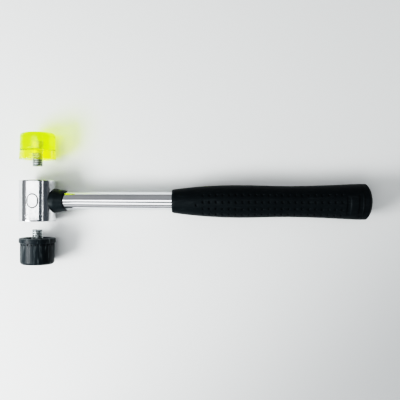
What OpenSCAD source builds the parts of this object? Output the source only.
// Double-face soft mallet lying on its side, with both screw-in faces unscrewed
// and laid in line with the head. The handle runs along +X, the strike axis
// along Y, and the lowest points of head, faces and grip touch z = 0.
// The origin is the centre of the footprint.

/* [Head] */
// Diameter of the head
head_d = 25; // [24:0.5:27]
// Length of the head along the strike axis
head_len = 28.5; // [28:0.5:34]
// Chamfer on each end of the head
head_chamfer = 0.5; // [0.2:0.1:1]
// Depth of the threaded hole in each end of the head
hole_depth = 7.5; // [6.5:0.1:7.5]
// Width of the countersink at each hole's mouth
countersink = 0.6; // [0.2:0.1:1]
// Distance from the strike axis to the bottom of the handle socket
socket_floor = 3; // [3:0.1:5]

/* [Thread] */
// Outer diameter of the screw thread
thread_d = 8; // [7:0.5:9]
// Pitch of the screw thread
thread_pitch = 1.25; // [1:0.25:1.5]
// Radial play between stud and hole
thread_play = 0.05; // [0.02:0.01:0.1]

/* [Handle] */
// Outer diameter of the handle tube
tube_d = 12.7; // [12:0.1:13]
// Wall thickness of the handle tube
tube_wall = 1; // [0.8:0.1:1.5]
// Distance from the strike axis to the handle end of the collar
collar_end = 20.5; // [19:0.5:24]
// Radius of the collar where it sits on the head
collar_wide_r = 8.7; // [8:0.1:10]
// Radius of the collar at its handle end
collar_narrow_r = 7.1; // [7:0.1:7.8]

/* [Grip] */
// Distance from the strike axis to the front of the grip
grip_start = 94; // [80:1:110]
// Length of the grip
grip_len = 138.5; // [134:0.5:150]
// Radius of the grip at its front
grip_front_r = 8.1; // [8:0.1:9]
// Radius of the grip at its palm swell
grip_swell_r = 11.4; // [10.8:0.1:11.6]
// Radius of the grip at its waist
grip_waist_r = 10.8; // [10:0.1:11]
// Distance from the hidden end of the tube to the end of the grip
tube_to_butt = 14.5; // [12:0.5:20]

/* [Clear face] */
// Length of the clear plastic face
clear_len = 18.7; // [17:0.1:22]
// Radius of its body at the strike end
clear_body_r = 11.95; // [11:0.05:12.2]
// Radius of the hollow in its back
clear_hollow_r = 9; // [8:0.1:9.5]
// How far its stud stands out past its rim
clear_reach = 4.6; // [4:0.1:6]
// Turns from the rest position to fully screwed in
clear_turns = 11.5; // [8:0.25:14]

/* [Rubber face] */
// Length of the rubber face
rubber_len = 18.3; // [17:0.1:22]
// Radius of its body
rubber_body_r = 11.65; // [11:0.05:11.9]
// Radius of the hollow in its back
rubber_hollow_r = 9.4; // [8:0.1:9.6]
// How far its stud stands out past its rim
rubber_reach = 5.7; // [4:0.1:6]
// Turns from the rest position to fully screwed in
rubber_turns = 9.25; // [8:0.25:14]

/* [Hidden] */
$fn = 96;

head_r = head_d / 2;
stud_r = thread_d / 2 - thread_play;
tube_r = tube_d / 2;
// Gap left between a face's rim and the head's end when it is screwed in
seat_gap = 0.05;
// Distance from the strike axis to the hidden end of the tube
tube_end = grip_start + grip_len - tube_to_butt;
// Distance from the middle of the head to each face's rim at rest
clear_rim = head_len / 2 + seat_gap + clear_turns * thread_pitch;
rubber_rim = head_len / 2 + seat_gap + rubber_turns * thread_pitch;
// Place of the point where the handle line crosses the strike axis
head_x = head_r - (head_r + grip_start + grip_len) / 2;
head_y = (rubber_rim + rubber_len - clear_rim - clear_len) / 2;
head_z = head_r;

// Both faces: depth of the hollow, and the stud's anchor buried past it
hollow_depth = 7;
anchor_r = 2.8;
anchor_neck_r = 2.2;
anchor_neck = [1.5, 2.2];
anchor_len = 5.7;
anchor_play = 0.03;
rubber_rim_h = 3.4;
clear_skirt_h = 6;

// Distances along the grip from its front to the swell, the waist and the flare
swell_at = 0.335 * grip_len;
waist_at = 0.59 * grip_len;
flare_at = 0.93 * grip_len;
grip_nose = 0.7;
// The butt: a small flat, a round and a slope down to the flare
butt_flat_r = 4;
butt_round = 12;
butt_slope = 42;
butt_edge_r = butt_flat_r + butt_round * sin(butt_slope);
butt_edge_at = grip_len - butt_round * (1 - cos(butt_slope));
flare_end = butt_edge_at - (head_r - butt_edge_r) * tan(butt_slope);

// Points on an arc about [x, y], from angle a to angle b
function arc(x, y, r, a, b, steps = 8) =
    [for (i = [0 : steps]) let (t = a + (b - a) * i / steps) [x + r * cos(t), y + r * sin(t)]];

// Radius of the grip at distance s from its front
function grip_r(s) =
    s < swell_at ? grip_swell_r - (grip_swell_r - grip_front_r) * pow(1 - s / swell_at, 2) :
    s < waist_at ? grip_swell_r - (grip_swell_r - grip_waist_r)
        * (1 - cos(180 * (s - swell_at) / (waist_at - swell_at))) / 2 :
    grip_waist_r + (head_r - grip_waist_r) * pow((s - waist_at) / (flare_at - waist_at), 1.5);

// Radius of the collar at distance x from the strike axis
function collar_r(x) =
    collar_narrow_r + (collar_wide_r - collar_narrow_r)
        * pow(min(1, (collar_end - x) / (collar_end - head_r)), 1.3);

// The handle line: z of the children runs along +X from the strike axis
module on_handle() {
    translate([head_x, head_y, head_z]) rotate([0, 90, 0]) children();
}

// The strike axis: z of the children runs outward, to +Y for side 1 and -Y for side -1
module on_strike_axis(side) {
    translate([head_x, head_y, head_z]) rotate([-90 * side, 0, 0]) children();
}

module ring(outer_r, inner_r, from, to) {
    translate([0, 0, from]) difference() {
        cylinder(r = outer_r, h = to - from);
        translate([0, 0, -1]) cylinder(r = inner_r, h = to - from + 2);
    }
}

// A stud with a plain shank for the thread and a waisted anchor, tip at -reach
module stud(reach) {
    tip = 0.7;
    foot = hollow_depth + anchor_len;
    rotate_extrude() polygon([
        [0, -reach], [stud_r - tip, -reach], [stud_r, tip - reach], [stud_r, hollow_depth],
        [anchor_r, hollow_depth], [anchor_r, hollow_depth + anchor_neck[0]],
        [anchor_neck_r, hollow_depth + anchor_neck[0]],
        [anchor_neck_r, hollow_depth + anchor_neck[1]],
        [anchor_r, hollow_depth + anchor_neck[1]], [anchor_r, foot - tip],
        [anchor_r - tip, foot], [0, foot]]);
}

// The space that the anchor of a stud takes inside a face
module anchor_socket() {
    translate([0, 0, hollow_depth - 1])
        cylinder(r = anchor_r + anchor_play, h = anchor_len + 1 + anchor_play);
}

module head_casting() {
    color("silver") difference() {
        on_strike_axis(1) rotate_extrude() polygon([
            [0, -head_len / 2], [head_r - head_chamfer, -head_len / 2],
            [head_r, head_chamfer - head_len / 2], [head_r, head_len / 2 - head_chamfer],
            [head_r - head_chamfer, head_len / 2], [0, head_len / 2]]);
        for (side = [-1, 1]) on_strike_axis(side) {
            translate([0, 0, head_len / 2 - hole_depth])
                cylinder(d = thread_d, h = hole_depth + 1);
            translate([0, 0, head_len / 2 - countersink])
                cylinder(r1 = thread_d / 2, r2 = thread_d / 2 + countersink + 0.1,
                         h = countersink + 0.1);
        }
        on_handle() translate([0, 0, socket_floor]) cylinder(r = tube_r, h = head_r);
    }
}

module handle_tube() {
    color("gainsboro") on_handle() ring(tube_r, tube_r - tube_wall, socket_floor, tube_end);
}

// A sleeve on the tube whose two ends are cut to saddles along the strike axis
module handle_collar() {
    saddle_r = 15;
    start = head_r / 2;
    steps = 20;
    color("#1c1f20") difference() {
        intersection() {
            on_handle() rotate_extrude() polygon(concat(
                [[tube_r, collar_end], [tube_r, start]],
                [for (i = [0 : steps]) let (x = start + (collar_end - start) * i / steps)
                    [collar_r(x), x]]));
            translate([collar_end - saddle_r, 0, 0]) on_strike_axis(1)
                cylinder(r = saddle_r, h = head_len, center = true);
        }
        on_strike_axis(1) cylinder(r = head_r, h = head_len + 2, center = true);
    }
}

module grip_sleeve() {
    steps = 48;
    plug_flange = 2;
    color("#17191a") on_handle() translate([0, 0, grip_start]) rotate_extrude()
        polygon(concat(
            [[0, grip_len], [0, tube_end + plug_flange - grip_start],
             [tube_r, tube_end + plug_flange - grip_start], [tube_r, 0],
             [grip_front_r - grip_nose, 0]],
            [for (i = [0 : steps]) let (s = grip_nose + (flare_at - grip_nose) * i / steps)
                [grip_r(s), s]],
            [[head_r, flare_end]],
            arc(butt_flat_r, grip_len - butt_round, butt_round, 90 - butt_slope, 90)));
}

module tube_end_plug() {
    color("dimgray") on_handle() translate([0, 0, tube_end]) rotate_extrude() polygon([
        [0, -12], [tube_r - tube_wall - 0.6, -12], [tube_r - tube_wall, -11],
        [tube_r - tube_wall, 0], [tube_r, 0], [tube_r, 2], [0, 2]]);
}

module clear_face() {
    edge = 3;
    top = clear_len - edge;
    color("#d4ee12", 0.85) on_strike_axis(1) translate([0, 0, clear_rim]) difference() {
        rotate_extrude() polygon(concat(
            [[0, hollow_depth], [clear_hollow_r - 1.5, hollow_depth]],
            arc(clear_hollow_r - 1.5, hollow_depth - 1.5, 1.5, 90, 0, 5),
            [[clear_hollow_r + 0.3, 0], [head_r - 0.3, 0], [head_r, 0.3]],
            [[clear_body_r + 0.2, clear_skirt_h]],
            arc(clear_body_r - edge, top, edge, 0, 90, 8),
            [[0, clear_len]]));
        anchor_socket();
    }
}

module clear_face_stud() {
    color("silver") on_strike_axis(1) translate([0, 0, clear_rim]) stud(clear_reach);
}

module rubber_face() {
    edge = 2;
    top = rubber_len - edge;
    color("#20272a") on_strike_axis(-1) translate([0, 0, rubber_rim]) difference() {
        rotate_extrude() polygon(concat(
            [[0, hollow_depth], [rubber_hollow_r - 1.5, hollow_depth]],
            arc(rubber_hollow_r - 1.5, hollow_depth - 1.5, 1.5, 90, 0, 5),
            [[rubber_hollow_r, 0.4], [rubber_hollow_r + 0.4, 0]],
            arc(head_r - 0.8, 0.8, 0.8, -90, 0, 5),
            arc(head_r - 0.5, rubber_rim_h - 0.5, 0.5, 0, 90, 4),
            [[rubber_body_r, rubber_rim_h]],
            arc(rubber_body_r - edge, top, edge, 0, 90, 8),
            [[0, rubber_len]]));
        anchor_socket();
    }
}

module rubber_face_stud() {
    color("silver") on_strike_axis(-1) translate([0, 0, rubber_rim]) stud(rubber_reach);
}

head_casting();
handle_tube();
handle_collar();
grip_sleeve();
tube_end_plug();
clear_face();
clear_face_stud();
rubber_face();
rubber_face_stud();
